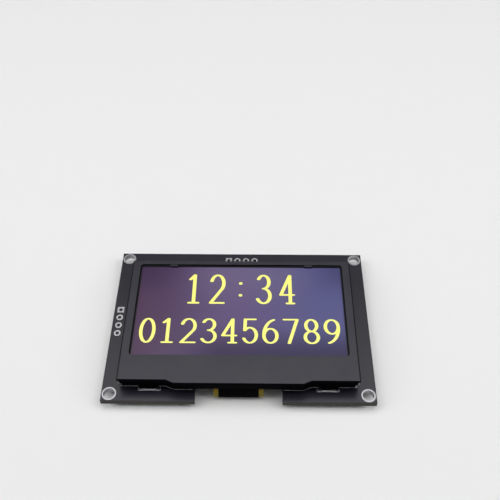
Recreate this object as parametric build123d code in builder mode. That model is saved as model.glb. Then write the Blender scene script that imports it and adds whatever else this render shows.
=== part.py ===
from build123d import *
from math import atan2, degrees, tan
import os

# A small display module lying face up: a circuit board that carries a glass display
# under a folded steel frame. All lengths are in millimetres.
# +X runs along the display's long side, +Y points away from the flex tail and +Z out of
# the screen. The origin is under the middle of the board, level with the frame's tab tips.

# Display glass, from the front to the back. The frame and the board are sized round it.
panel_width = 60.5
panel_depth = 37.0
polarizer_thickness = 0.2
polarizer_inset = 0.25
front_glass_thickness = 0.7
rear_glass_thickness = 1.1
glass_corner_chamfer = 0.5
glass_seal_width = 2.5
getter_recess = 0.35
getter_thickness = 0.2
getter_clearance = 0.35

# Display frame, folded from one sheet
frame_height = 5.0
frame_sheet = 0.4
fold_inner_radius = 0.1
frame_corner_radius = 0.3
panel_side_clearance = 0.25
panel_end_clearance = 0.3
wall_gap = 1.75
corner_gap = 0.4
lip_side_width = 2.3
lip_back_width = 1.5
lip_front_width = 7.3
window_corner_radius = 0.9
bulge_overhang = 5.2
bulge_depth = 0.9
bulge_slope = 2.0
bulge_blend_radius = 1.2
mouth_rise = 0.65
tongue_width = 2.2
tongue_spacing = 38.2
tongue_reach = 0.6
tongue_step = 0.12
tongue_clearance = 0.1

# Frame tabs, which pass through plated slots in the board and are soldered
tab_width = 5.0
tab_drop = 1.5
tab_tip_chamfer = 0.5
bulge_to_tab = 2.0
slot_end_clearance = 0.3
slot_side_clearance = 0.15
slot_pad_margin = 0.2
slot_pad_bevel = 0.2
solder_rise = 0.5
solder_collar = 0.12

# Circuit board
board_thickness = 1.6
board_side_margin = 4.35
board_front_margin = 3.3
board_back_margin = 6.3
notch_side_clearance = 4.85
notch_back_clearance = 0.4
notch_corner_radius = 0.8

# Plated holes: the corner holes take screws, the two rows take header pins
plating_thickness = 0.05
mounting_hole_diameter = 3.0
mounting_ring_width = 0.33
mounting_hole_inset = 2.05
header_pin_count = 4
header_pin_spacing = 2.54
header_hole_diameter = 1.0
header_pad_size = 1.85
left_header_inset = 1.75
top_header_inset = 2.4

# Foam: a thin ring under the frame's lip, and strips that hold the glass off the board
gasket_thickness = 0.25
gasket_show = 0.35
gasket_front_set_back = 0.15
gasket_corner_radius = 0.4
foam_inset = 0.8
foam_strip_width = 4.0
foam_joint_gap = 0.3

# Flex tail, from the glass ledge through the notch to the back of the board
flex_contact_count = 24
flex_contact_spacing = 0.5
flex_contact_width = 0.3
flex_contact_length = 2.4
flex_contact_thickness = 0.1
flex_contact_reach = 0.8
flex_edge_margin = 0.4
flex_thickness = 0.12
flex_bond_length = 1.5
flex_wall_clearance = 0.14
flex_bend_set_back = 0.05
flex_run_under_board = 5.6
cover_film_thickness = 0.05
cover_film_side_margin = 1.25
cover_film_end_margin = 1.6

# Driver chip on the glass ledge, between the flex tail and the rear glass
driver_chip_length = 11.0
driver_chip_width = 1.5
driver_chip_height = 0.4
driver_chip_gap = 1.25

# Chip resistors and capacitors soldered under the board
land_thickness = 0.05
land_margin = 0.15
terminal_plating = 0.02
resistor_length = 1.6
resistor_width = 0.8
resistor_height = 0.45
resistor_terminal = 0.3
capacitor_length = 2.0
capacitor_width = 1.25
capacitor_height = 0.85
capacitor_terminal = 0.45

# Leaded packages under the board: the boost chip, the regulator and the diode
package_length = 2.9
package_width = 1.6
package_height = 1.0
package_chamfer = 0.1
package_stand_off = 0.1
lead_span = 2.8
lead_width = 0.4
lead_thickness = 0.15
lead_shoulder = 0.1
lead_foot = 0.4
lead_spacing = 0.95
diode_length = 2.7
diode_lead_width = 0.6
diode_lead_span = 3.7

# Inductor under the board: a round core in a square shield
inductor_size = 4.0
inductor_height = 1.2
inductor_corner_chamfer = 0.5
inductor_shield_wall = 0.35
inductor_core_gap = 0.15
inductor_terminal_width = 1.2
inductor_terminal_thickness = 0.1

# Where the small parts sit under the board: two rows, measured from the end of the flex tail,
# and columns, measured from its middle. The address resistors are measured from the left header.
near_row = 4.0
far_row = 8.6
resistor_row_count = 8
resistor_row_spacing = 2.3
capacitor_inner_column = 9.6
capacitor_outer_column = 14.5
output_capacitor_column = 21.0
regulator_column = 15.4
boost_chip_column = -14.6
inductor_column = -20.6
address_resistor_inset = 6.0
address_resistor_rows = (2.6, 5.2)
quarter_turn = 90

# Heights above the plane that the tab tips rest on
board_bottom = tab_drop
board_top = board_bottom + board_thickness
frame_top = board_top + frame_height
wall_bottom = board_top + wall_gap
lip_underside = frame_top - frame_sheet
polarizer_top = lip_underside - gasket_thickness
polarizer_bottom = polarizer_top - polarizer_thickness
front_glass_bottom = polarizer_bottom - front_glass_thickness
rear_glass_bottom = front_glass_bottom - rear_glass_thickness
land_bottom = board_bottom - land_thickness

# The frame just holds the glass, and the board reaches past the frame on every side
frame_width = panel_width + 2 * (panel_side_clearance + frame_sheet)
frame_depth = panel_depth + 2 * (panel_end_clearance + frame_sheet)
fold_outer_radius = fold_inner_radius + frame_sheet
board_width = frame_width + 2 * board_side_margin
board_depth = frame_depth + board_front_margin + board_back_margin
board_front = -board_depth / 2
board_back = board_depth / 2

# Places along Y, from the front of the board
frame_front = board_front + board_front_margin
frame_back = frame_front + frame_depth
frame_middle_y = (frame_front + frame_back) / 2
window_front = frame_front + lip_front_width
window_back = frame_back - lip_back_width
window_middle_y = (window_front + window_back) / 2
window_width = frame_width - 2 * lip_side_width
window_depth = window_back - window_front
panel_front = frame_middle_y - panel_depth / 2
panel_back = frame_middle_y + panel_depth / 2
driver_chip_y = panel_front + flex_bond_length + driver_chip_gap + driver_chip_width / 2
rear_glass_front = driver_chip_y + driver_chip_width / 2 + driver_chip_gap
rear_glass_depth = panel_back - rear_glass_front
rear_glass_middle_y = (rear_glass_front + panel_back) / 2

# The contacts set the flex tail's width, and the tail sets the notch, the bulge and the tabs
flex_width = flex_contact_count * flex_contact_spacing + 2 * flex_edge_margin
notch_width = flex_width + 2 * notch_side_clearance
notch_back = panel_front + notch_back_clearance
bulge_width = notch_width + 2 * bulge_overhang
tab_spacing = bulge_width + 2 * (bulge_slope + bulge_to_tab) + tab_width
flex_end = notch_back + flex_run_under_board

# The flex tail turns down just behind the bulge's wall, with its cover film outside
bulge_wall_inside = frame_front - bulge_depth + frame_sheet
flex_front = bulge_wall_inside + flex_wall_clearance + cover_film_thickness + flex_thickness / 2
flex_bend_radius = panel_front - flex_front - flex_bend_set_back

# Hole places on the board
mounting_hole_radius = mounting_hole_diameter / 2
header_hole_radius = header_hole_diameter / 2
header_middle = (header_pin_count - 1) / 2
header_offsets = [header_pin_spacing * (pin - header_middle) for pin in range(header_pin_count)]
left_header_x = -board_width / 2 + left_header_inset
top_header_y = board_back - top_header_inset
mounting_holes = [
    Location((side * (board_width / 2 - mounting_hole_inset), end * (board_depth / 2 - mounting_hole_inset)))
    for side in (-1, 1)
    for end in (-1, 1)
]
left_header_holes = [Location((left_header_x, -offset)) for offset in header_offsets]
top_header_holes = [Location((offset, top_header_y)) for offset in header_offsets]

# The tabs stand in the middle of the front and back walls' sheet
tab_rows = (frame_front + frame_sheet / 2, frame_back - frame_sheet / 2)
tab_places = [Location((side * tab_spacing / 2, row)) for side in (-1, 1) for row in tab_rows]
slot_length = tab_width + 2 * slot_end_clearance
slot_width = frame_sheet + 2 * slot_side_clearance
slot_pad_length = slot_length + 2 * slot_pad_margin
slot_pad_width = slot_width + 2 * slot_pad_margin

# The place and turn of each small part under the board
near_row_y = flex_end + near_row
far_row_y = flex_end + far_row
address_resistor_x = left_header_x + address_resistor_inset
resistor_middle = (resistor_row_count - 1) / 2
resistor_offsets = [number - resistor_middle for number in range(resistor_row_count)]
address_resistors = [(address_resistor_x, y, 0) for y in address_resistor_rows]
resistor_row = [(resistor_row_spacing * offset, near_row_y, quarter_turn) for offset in resistor_offsets]
resistor_places = resistor_row + address_resistors
capacitor_columns = [side * x for side in (-1, 1) for x in (capacitor_inner_column, capacitor_outer_column)]
output_capacitor = (output_capacitor_column, near_row_y, quarter_turn)
capacitor_places = [(x, far_row_y, 0) for x in capacitor_columns] + [output_capacitor]
boost_chip_place = (boost_chip_column, near_row_y, 0)
regulator_place = (regulator_column, near_row_y, 0)
inductor_place = (inductor_column, near_row_y, 0)
diode_place = (inductor_column, far_row_y, quarter_turn)
hanging = (Align.CENTER, Align.CENTER, Align.MAX)

# The leads of each package: how far along its near and its far side each one stands
boost_chip_leads_at = ((-lead_spacing, 0, lead_spacing), (-lead_spacing, lead_spacing))
regulator_leads_at = ((-lead_spacing, lead_spacing), (0,))
diode_leads_at = ((0,), (0,))


def circles_at(places, radius):
    """Equal circles, one at each place."""
    with BuildSketch() as circles:
        with Locations(*places):
            Circle(radius)
    return circles.sketch


def slots_at(places, growth):
    """The tab slots, each grown on every side."""
    with BuildSketch() as slots:
        with Locations(*places):
            Rectangle(slot_length + 2 * growth, slot_width + 2 * growth)
    return slots.sketch


def bevelled_pads_at(places, length, width, bevel):
    """Long pads with bevelled ends, one at each place."""
    with BuildSketch() as pads:
        with Locations(*places):
            Rectangle(length, width)
        chamfer(pads.vertices(), length=bevel)
    return pads.sketch


def header_pads_at(places):
    """One pad for each pin: the first is square and the others are round."""
    with BuildSketch() as pads:
        with Locations(places[0]):
            Rectangle(header_pad_size, header_pad_size)
        with Locations(*places[1:]):
            Circle(header_pad_size / 2)
    return pads.sketch


def plated_through(pads, barrels, bores):
    """Pads on both faces of the board, joined by a lining through it."""
    with BuildPart() as plating:
        for height in (board_bottom - plating_thickness, board_top):
            with BuildSketch(Plane.XY.offset(height)):
                add(pads)
            extrude(amount=plating_thickness)
        with BuildSketch(Plane.XY.offset(board_bottom)):
            add(barrels)
        extrude(amount=board_thickness)
        with BuildSketch(Plane.XY.offset(board_bottom - plating_thickness)):
            add(bores)
        extrude(amount=board_thickness + 2 * plating_thickness, mode=Mode.SUBTRACT)
    return plating.part


def frame_outline(inset):
    """The frame seen from above, bulging out over the flex tail, moved inwards by inset.

    A slanted wall keeps its thickness when its ends move sideways by the inset times the
    tangent of half its slope. The bulge's outer bends tighten inwards and its inner ones open.
    """
    side = frame_width / 2 - inset
    front = frame_front + inset
    back = frame_back - inset
    bulge_front = front - bulge_depth
    bulge_side = bulge_width / 2 - inset * tan(atan2(bulge_depth, bulge_slope) / 2)
    slope_side = bulge_side + bulge_slope
    corner = max(frame_corner_radius - inset, 0)
    foot = bulge_blend_radius + inset
    shoulder = bulge_blend_radius - inset
    with BuildSketch() as outline:
        with BuildLine():
            FilletPolyline(
                (-side, back),
                (-side, front),
                (-slope_side, front),
                (-bulge_side, bulge_front),
                (bulge_side, bulge_front),
                (slope_side, front),
                (side, front),
                (side, back),
                radius=[corner, corner, foot, shoulder, shoulder, foot, corner, corner],
                close=True,
            )
        make_face()
    return outline.sketch


def flex_route(outwards, start, end):
    """Side view of the flex tail: off the glass ledge, down behind the wall and in under the board.

    outwards moves the whole route away from the middle of the film's thickness, towards the
    outside of its bends. start and end are the places along Y where the route begins and ends.
    """
    upper = front_glass_bottom - flex_thickness / 2 + outwards
    lower = board_bottom - flex_contact_thickness - flex_thickness / 2 - outwards
    front = flex_front - outwards
    with BuildLine() as route:
        FilletPolyline(
            (start, upper),
            (front, upper),
            (front, lower),
            (end, lower),
            radius=flex_bend_radius + outwards,
        )
    return route.line


def chip_bodies(places, length, width, height, terminal):
    """The ceramic middles of two-ended chips, which hang from their terminals."""
    with BuildPart() as bodies:
        for x, y, turn in places:
            with Locations(Location((x, y, land_bottom - terminal_plating), (0, 0, turn))):
                Box(length - 2 * terminal, width, height, align=hanging)
    return bodies.part


def chip_terminals(places, length, width, height, terminal):
    """The plated ends of two-ended chips, a little proud of their bodies."""
    with BuildPart() as terminals:
        for x, y, turn in places:
            with Locations(Location((x, y, land_bottom), (0, 0, turn))):
                with GridLocations(length - terminal, 0, 2, 1):
                    Box(
                        terminal,
                        width + 2 * terminal_plating,
                        height + 2 * terminal_plating,
                        align=hanging,
                    )
    return terminals.part


def chip_lands(places, length, width, terminal):
    """The board's tinned lands under two-ended chips."""
    with BuildPart() as lands:
        for x, y, turn in places:
            with Locations(Location((x, y, board_bottom), (0, 0, turn))):
                with GridLocations(length - terminal + land_margin, 0, 2, 1):
                    Box(terminal + land_margin, width + land_margin, land_thickness, align=hanging)
    return lands.part


def package_body(place, length, width):
    """A moulded package that hangs under the board, with its outer edges chamfered."""
    x, y, turn = place
    with BuildPart() as body:
        with Locations(Location((x, y, land_bottom - package_stand_off), (0, 0, turn))):
            Box(length, width, package_height, align=hanging)
        chamfer(body.faces().sort_by(Axis.Z)[0].edges(), length=package_chamfer)
    return body.part


def lead_places(place, leads_at):
    """A location for each lead, turned so that its own +Y points away from the package."""
    x, y, turn = place
    near_side, far_side = leads_at
    near = [Location((x, y, 0), (0, 0, turn + 180)) * Location((along, 0, 0)) for along in near_side]
    far = [Location((x, y, 0), (0, 0, turn)) * Location((along, 0, 0)) for along in far_side]
    return near + far


def package_leads(place, leads_at, body_width, span, width):
    """Bent leads: out of the package's side, up to the board and flat along their lands."""
    shoulder_height = land_bottom - package_stand_off - package_height / 2
    foot_height = land_bottom - lead_thickness / 2
    with BuildPart() as lead:
        with BuildSketch(Plane.YZ):
            with BuildLine() as bend:
                Polyline(
                    (body_width / 2, shoulder_height),
                    (body_width / 2 + lead_shoulder, shoulder_height),
                    (span / 2 - lead_foot, foot_height),
                    (span / 2, foot_height),
                )
            trace(bend.line, line_width=lead_thickness)
        extrude(amount=width / 2, both=True)
    with BuildPart() as leads:
        with Locations(*lead_places(place, leads_at)):
            add(lead.part)
    return leads.part


def lead_lands(place, leads_at, span, width):
    """The board's tinned lands under a package's leads."""
    with BuildPart() as lands:
        with Locations(*lead_places(place, leads_at)):
            with Locations((0, span / 2 - lead_foot / 2, board_bottom)):
                Box(width + land_margin, lead_foot + land_margin, land_thickness, align=hanging)
    return lands.part


# Circuit board: a plain plate with a notch for the flex tail and room for every plated hole
with BuildPart() as circuit_board:
    with BuildSketch(Plane.XY.offset(board_bottom)) as board_outline:
        Rectangle(board_width, board_depth)
        with Locations((0, board_front)):
            Rectangle(notch_width, 2 * (notch_back - board_front), mode=Mode.SUBTRACT)
        notch_corners = board_outline.vertices().filter_by_position(
            Axis.Y, board_front, board_back, inclusive=(False, False)
        )
        fillet(notch_corners, radius=notch_corner_radius)
        with Locations(*mounting_holes):
            Circle(mounting_hole_radius + plating_thickness, mode=Mode.SUBTRACT)
        with Locations(*left_header_holes, *top_header_holes):
            Circle(header_hole_radius + plating_thickness, mode=Mode.SUBTRACT)
        add(slots_at(tab_places, plating_thickness), mode=Mode.SUBTRACT)
    extrude(amount=board_thickness)
circuit_board.part.label = "circuit_board"

# Rings and linings of the four corner holes
with BuildPart() as mounting_hole_plating:
    add(
        plated_through(
            circles_at(mounting_holes, mounting_hole_radius + mounting_ring_width),
            circles_at(mounting_holes, mounting_hole_radius + plating_thickness),
            circles_at(mounting_holes, mounting_hole_radius),
        )
    )
mounting_hole_plating.part.label = "mounting_hole_plating"

# Header pads along the left edge, the square one nearest the back
with BuildPart() as left_header_pads:
    add(
        plated_through(
            header_pads_at(left_header_holes),
            circles_at(left_header_holes, header_hole_radius + plating_thickness),
            circles_at(left_header_holes, header_hole_radius),
        )
    )
left_header_pads.part.label = "left_header_pads"

# Header pads along the back edge, the square one at the left
with BuildPart() as top_header_pads:
    add(
        plated_through(
            header_pads_at(top_header_holes),
            circles_at(top_header_holes, header_hole_radius + plating_thickness),
            circles_at(top_header_holes, header_hole_radius),
        )
    )
top_header_pads.part.label = "top_header_pads"

# Plated slots that the frame's tabs pass through
with BuildPart() as tab_slot_plating:
    add(
        plated_through(
            bevelled_pads_at(tab_places, slot_pad_length, slot_pad_width, slot_pad_bevel),
            slots_at(tab_places, plating_thickness),
            slots_at(tab_places, 0),
        )
    )
tab_slot_plating.part.label = "tab_slot_plating"

# The hollow behind the frame's sheet
with BuildPart() as frame_hollow:
    with BuildSketch(Plane.XY.offset(wall_bottom)):
        add(frame_outline(frame_sheet))
    extrude(amount=lip_underside - wall_bottom)
    fillet(frame_hollow.faces().sort_by(Axis.Z)[-1].edges(), radius=fold_inner_radius)

# Display frame: a shallow lid with folded walls, a window, two glass tongues and four tabs
with BuildPart() as display_frame:
    with BuildSketch(Plane.XY.offset(wall_bottom)):
        add(frame_outline(0))
    extrude(amount=frame_top - wall_bottom)
    fillet(display_frame.faces().sort_by(Axis.Z)[-1].edges(), radius=fold_outer_radius)
    add(frame_hollow.part, mode=Mode.SUBTRACT)

    # Window
    with BuildSketch(Plane.XY.offset(lip_underside)):
        with Locations((0, window_middle_y)):
            RectangleRounded(window_width, window_depth, window_corner_radius)
    extrude(amount=frame_sheet, mode=Mode.SUBTRACT)

    # Tongues: two small lugs of the lip, pressed down onto the display
    with BuildSketch(Plane.XY.offset(polarizer_top)):
        with Locations((0, window_back - tongue_reach / 2)):
            with GridLocations(tongue_spacing, 0, 2, 1):
                Rectangle(tongue_width, tongue_reach)
    extrude(amount=frame_top - tongue_step - polarizer_top)

    # The front wall stops a little higher over the notch, where the flex tail comes down
    with BuildSketch(Plane.XY.offset(wall_bottom)):
        with Locations((0, frame_front)):
            Rectangle(notch_width, 2 * (bulge_depth + frame_sheet))
    extrude(amount=mouth_rise, mode=Mode.SUBTRACT)

    # The walls are separate flaps, so each corner is open up to the fold
    with BuildSketch(Plane.XY.offset(wall_bottom)):
        with Locations((0, frame_middle_y)):
            with GridLocations(frame_width, frame_depth, 2, 2):
                Rectangle(2 * (frame_sheet + corner_gap), 2 * (frame_sheet + corner_gap))
    extrude(amount=frame_top - fold_outer_radius - wall_bottom, mode=Mode.SUBTRACT)

    # Tabs that run on from the front and back walls, with chamfered tips
    for row in tab_rows:
        with BuildSketch(Plane.XZ.offset(-row)) as tabs:
            with GridLocations(tab_spacing, 0, 2, 1):
                Rectangle(tab_width, wall_bottom, align=(Align.CENTER, Align.MIN))
            chamfer(tabs.vertices().group_by(Axis.Y)[0], length=tab_tip_chamfer)
        extrude(amount=frame_sheet / 2, both=True)
display_frame.part.label = "display_frame"

# Solder round each tab, sloping up from its pad, alike on both faces of the board
solder_spread = (slot_pad_width - frame_sheet) / 2 - solder_collar
solder_taper = degrees(atan2(solder_spread, solder_rise))
with BuildPart() as tab_solder:
    with BuildSketch(Plane.XY.offset(board_top + plating_thickness)):
        add(bevelled_pads_at(tab_places, slot_pad_length, slot_pad_width, slot_pad_bevel))
    extrude(amount=solder_rise, taper=solder_taper)
    mirror(about=Plane.XY.offset(board_bottom + board_thickness / 2))
    with BuildSketch():
        with Locations(*tab_places):
            Rectangle(tab_width, frame_sheet)
    extrude(amount=wall_bottom, mode=Mode.SUBTRACT)
tab_solder.part.label = "tab_solder"

# The polarizer covers the front glass as far as the rear glass does
polarizer_width = panel_width - 2 * polarizer_inset
polarizer_depth = rear_glass_depth - 2 * polarizer_inset

# Foam ring between the frame's lip and the polarizer. It shows inside the window at the sides
# and the back, where it makes room for the tongues, and it is hidden at the front.
gasket_hole_width = window_width - 2 * gasket_show
gasket_hole_depth = window_depth - gasket_show + gasket_front_set_back
with BuildPart() as lip_gasket:
    with BuildSketch(Plane.XY.offset(polarizer_top)):
        with Locations((0, rear_glass_middle_y)):
            Rectangle(polarizer_width, polarizer_depth)
        with Locations((0, window_back - gasket_show - gasket_hole_depth / 2)):
            RectangleRounded(gasket_hole_width, gasket_hole_depth, gasket_corner_radius, mode=Mode.SUBTRACT)
        with Locations((0, window_back)):
            with GridLocations(tongue_spacing, 0, 2, 1):
                Rectangle(tongue_width + 2 * tongue_clearance, 2 * gasket_show, mode=Mode.SUBTRACT)
    extrude(amount=gasket_thickness)
lip_gasket.part.label = "lip_gasket"

# Polarizer film on the front of the glass
with BuildPart() as polarizer:
    with BuildSketch(Plane.XY.offset(polarizer_bottom)):
        with Locations((0, rear_glass_middle_y)):
            Rectangle(polarizer_width, polarizer_depth)
    extrude(amount=polarizer_thickness)
polarizer.part.label = "polarizer"

# Front glass, whose front end is the ledge for the driver chip and the flex tail
with BuildPart() as front_glass:
    with BuildSketch(Plane.XY.offset(front_glass_bottom)) as front_glass_outline:
        with Locations((0, frame_middle_y)):
            Rectangle(panel_width, panel_depth)
        chamfer(front_glass_outline.vertices(), length=glass_corner_chamfer)
    extrude(amount=front_glass_thickness)
front_glass.part.label = "front_glass"

# Rear glass, hollowed on its inner side for the getter, with a rim that is sealed to the front
getter_pocket_width = panel_width - 2 * glass_seal_width
getter_pocket_depth = rear_glass_depth - 2 * glass_seal_width

with BuildPart() as rear_glass:
    with BuildSketch(Plane.XY.offset(rear_glass_bottom)):
        with Locations((0, rear_glass_middle_y)):
            Rectangle(panel_width, rear_glass_depth)
    extrude(amount=rear_glass_thickness)
    with BuildSketch(Plane.XY.offset(front_glass_bottom - getter_recess)):
        with Locations((0, rear_glass_middle_y)):
            Rectangle(getter_pocket_width, getter_pocket_depth)
    extrude(amount=getter_recess, mode=Mode.SUBTRACT)
rear_glass.part.label = "rear_glass"

# Getter sheet, which keeps the sealed space dry
with BuildPart() as getter_sheet:
    with BuildSketch(Plane.XY.offset(front_glass_bottom - getter_recess)):
        with Locations((0, rear_glass_middle_y)):
            Rectangle(
                getter_pocket_width - 2 * getter_clearance,
                getter_pocket_depth - 2 * getter_clearance,
            )
    extrude(amount=getter_thickness)
getter_sheet.part.label = "getter_sheet"

# Foam strips between the rear glass and the board
with BuildPart() as support_foam:
    foam_width = panel_width - 2 * foam_inset
    foam_depth = rear_glass_depth - 2 * foam_inset
    side_strip_depth = foam_depth - 2 * (foam_strip_width + foam_joint_gap)
    with BuildSketch(Plane.XY.offset(board_top)):
        with Locations((0, rear_glass_middle_y)):
            with GridLocations(0, foam_depth - foam_strip_width, 1, 2):
                Rectangle(foam_width, foam_strip_width)
            with GridLocations(foam_width - foam_strip_width, 0, 2, 1):
                Rectangle(foam_strip_width, side_strip_depth)
    extrude(amount=rear_glass_bottom - board_top)
support_foam.part.label = "support_foam"

# Driver chip under the glass ledge
with BuildPart() as driver_chip:
    with BuildSketch(Plane.XY.offset(front_glass_bottom)):
        with Locations((0, driver_chip_y)):
            Rectangle(driver_chip_length, driver_chip_width)
    extrude(amount=-driver_chip_height)
driver_chip.part.label = "driver_chip"

# Flex tail: an amber film
with BuildPart() as flex_tail:
    with BuildSketch(Plane.YZ):
        trace(flex_route(0, panel_front + flex_bond_length, flex_end), line_width=flex_thickness)
    extrude(amount=flex_width / 2, both=True)
flex_tail.part.label = "flex_tail"

# Black cover film along the outside of the flex tail's bend
with BuildPart() as flex_cover_film:
    film_offset = (flex_thickness + cover_film_thickness) / 2
    with BuildSketch(Plane.YZ):
        trace(
            flex_route(film_offset, panel_front, flex_end - cover_film_end_margin),
            line_width=cover_film_thickness,
        )
    extrude(amount=flex_width / 2 - cover_film_side_margin, both=True)
flex_cover_film.part.label = "flex_cover_film"

# Soldered contacts between the flex tail's end and the board
with BuildPart() as flex_contacts:
    with BuildSketch(Plane.XY.offset(board_bottom)):
        with Locations((0, flex_end + flex_contact_reach - flex_contact_length / 2)):
            with GridLocations(flex_contact_spacing, 0, flex_contact_count, 1):
                Rectangle(flex_contact_width, flex_contact_length)
    extrude(amount=-flex_contact_thickness)
flex_contacts.part.label = "flex_contacts"

# Tinned lands for everything that is soldered under the board
with BuildPart() as component_lands:
    add(chip_lands(resistor_places, resistor_length, resistor_width, resistor_terminal))
    add(chip_lands(capacitor_places, capacitor_length, capacitor_width, capacitor_terminal))
    add(lead_lands(boost_chip_place, boost_chip_leads_at, lead_span, lead_width))
    add(lead_lands(regulator_place, regulator_leads_at, lead_span, lead_width))
    add(lead_lands(diode_place, diode_leads_at, diode_lead_span, diode_lead_width))
    add(chip_lands([inductor_place], inductor_size, inductor_size, inductor_terminal_width))
component_lands.part.label = "component_lands"

# Chip resistors
resistor_form = (resistor_length, resistor_width, resistor_height, resistor_terminal)

with BuildPart() as resistor_bodies:
    add(chip_bodies(resistor_places, *resistor_form))
resistor_bodies.part.label = "resistor_bodies"

with BuildPart() as resistor_terminals:
    add(chip_terminals(resistor_places, *resistor_form))
resistor_terminals.part.label = "resistor_terminals"

# Chip capacitors
capacitor_form = (capacitor_length, capacitor_width, capacitor_height, capacitor_terminal)

with BuildPart() as capacitor_bodies:
    add(chip_bodies(capacitor_places, *capacitor_form))
capacitor_bodies.part.label = "capacitor_bodies"

with BuildPart() as capacitor_terminals:
    add(chip_terminals(capacitor_places, *capacitor_form))
capacitor_terminals.part.label = "capacitor_terminals"

# Boost chip, which makes the display's supply
with BuildPart() as boost_chip_body:
    add(package_body(boost_chip_place, package_length, package_width))
boost_chip_body.part.label = "boost_chip_body"

with BuildPart() as boost_chip_leads:
    add(package_leads(boost_chip_place, boost_chip_leads_at, package_width, lead_span, lead_width))
boost_chip_leads.part.label = "boost_chip_leads"

# Voltage regulator
with BuildPart() as regulator_body:
    add(package_body(regulator_place, package_length, package_width))
regulator_body.part.label = "regulator_body"

with BuildPart() as regulator_leads:
    add(package_leads(regulator_place, regulator_leads_at, package_width, lead_span, lead_width))
regulator_leads.part.label = "regulator_leads"

# Rectifier diode, with one lead at each end
with BuildPart() as diode_body:
    add(package_body(diode_place, package_width, diode_length))
diode_body.part.label = "diode_body"

with BuildPart() as diode_leads:
    add(package_leads(diode_place, diode_leads_at, diode_length, diode_lead_span, diode_lead_width))
diode_leads.part.label = "diode_leads"

# Inductor: two flat terminals, a square ferrite shield and the round core inside it
inductor_x, inductor_y, inductor_turn = inductor_place
inductor_seat = land_bottom - inductor_terminal_thickness
inductor_bore_radius = inductor_size / 2 - inductor_shield_wall

with BuildPart() as inductor_terminals:
    with Locations(Location((inductor_x, inductor_y, land_bottom), (0, 0, inductor_turn))):
        with GridLocations(inductor_size - inductor_terminal_width, 0, 2, 1):
            Box(inductor_terminal_width, inductor_size, inductor_terminal_thickness, align=hanging)
inductor_terminals.part.label = "inductor_terminals"

with BuildPart() as inductor_shield:
    with BuildSketch(Plane.XY.offset(inductor_seat)) as shield_outline:
        with Locations(Location((inductor_x, inductor_y), inductor_turn)):
            Rectangle(inductor_size, inductor_size)
        chamfer(shield_outline.vertices(), length=inductor_corner_chamfer)
        with Locations((inductor_x, inductor_y)):
            Circle(inductor_bore_radius, mode=Mode.SUBTRACT)
    extrude(amount=-inductor_height)
inductor_shield.part.label = "inductor_shield"

with BuildPart() as inductor_core:
    with Locations((inductor_x, inductor_y, inductor_seat)):
        Cylinder(inductor_bore_radius - inductor_core_gap, inductor_height, align=hanging)
inductor_core.part.label = "inductor_core"

os.makedirs("parts", exist_ok=True)
export_step(circuit_board.part, "parts/circuit_board.step")
export_step(mounting_hole_plating.part, "parts/mounting_hole_plating.step")
export_step(left_header_pads.part, "parts/left_header_pads.step")
export_step(top_header_pads.part, "parts/top_header_pads.step")
export_step(tab_slot_plating.part, "parts/tab_slot_plating.step")
export_step(display_frame.part, "parts/display_frame.step")
export_step(tab_solder.part, "parts/tab_solder.step")
export_step(lip_gasket.part, "parts/lip_gasket.step")
export_step(polarizer.part, "parts/polarizer.step")
export_step(front_glass.part, "parts/front_glass.step")
export_step(rear_glass.part, "parts/rear_glass.step")
export_step(getter_sheet.part, "parts/getter_sheet.step")
export_step(support_foam.part, "parts/support_foam.step")
export_step(driver_chip.part, "parts/driver_chip.step")
export_step(flex_tail.part, "parts/flex_tail.step")
export_step(flex_cover_film.part, "parts/flex_cover_film.step")
export_step(flex_contacts.part, "parts/flex_contacts.step")
export_step(component_lands.part, "parts/component_lands.step")
export_step(resistor_bodies.part, "parts/resistor_bodies.step")
export_step(resistor_terminals.part, "parts/resistor_terminals.step")
export_step(capacitor_bodies.part, "parts/capacitor_bodies.step")
export_step(capacitor_terminals.part, "parts/capacitor_terminals.step")
export_step(boost_chip_body.part, "parts/boost_chip_body.step")
export_step(boost_chip_leads.part, "parts/boost_chip_leads.step")
export_step(regulator_body.part, "parts/regulator_body.step")
export_step(regulator_leads.part, "parts/regulator_leads.step")
export_step(diode_body.part, "parts/diode_body.step")
export_step(diode_leads.part, "parts/diode_leads.step")
export_step(inductor_terminals.part, "parts/inductor_terminals.step")
export_step(inductor_shield.part, "parts/inductor_shield.step")
export_step(inductor_core.part, "parts/inductor_core.step")
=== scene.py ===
# %% [markdown]
# A small display module lies face up on a pale floor: a black circuit board carries a
# glass display under a folded dark frame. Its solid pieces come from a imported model, which
# is loaded first and never moved or changed. This lesson gives each piece its finish, draws
# the lit dots of the screen, builds the flex tail and the solder at the frame's tabs in a
# fuller form, and sets up a plain studio round it all.

import bpy
import numpy as np
from mathutils import Matrix, Vector


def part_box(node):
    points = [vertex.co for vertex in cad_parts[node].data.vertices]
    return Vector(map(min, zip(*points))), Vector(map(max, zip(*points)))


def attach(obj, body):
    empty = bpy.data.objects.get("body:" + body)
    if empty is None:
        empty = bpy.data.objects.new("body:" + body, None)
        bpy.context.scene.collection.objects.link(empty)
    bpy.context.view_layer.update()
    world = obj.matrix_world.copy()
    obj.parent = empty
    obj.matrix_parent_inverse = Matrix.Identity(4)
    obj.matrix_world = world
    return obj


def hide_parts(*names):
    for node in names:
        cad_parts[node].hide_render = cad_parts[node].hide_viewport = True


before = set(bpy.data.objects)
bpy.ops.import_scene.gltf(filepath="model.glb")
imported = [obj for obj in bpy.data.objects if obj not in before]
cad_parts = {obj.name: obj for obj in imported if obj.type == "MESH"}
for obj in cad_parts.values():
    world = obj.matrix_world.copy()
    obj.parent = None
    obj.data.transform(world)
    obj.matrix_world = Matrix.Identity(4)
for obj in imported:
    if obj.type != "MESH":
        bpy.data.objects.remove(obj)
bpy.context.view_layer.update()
mm = 0.001
print("pieces loaded:", len(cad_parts))

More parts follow.
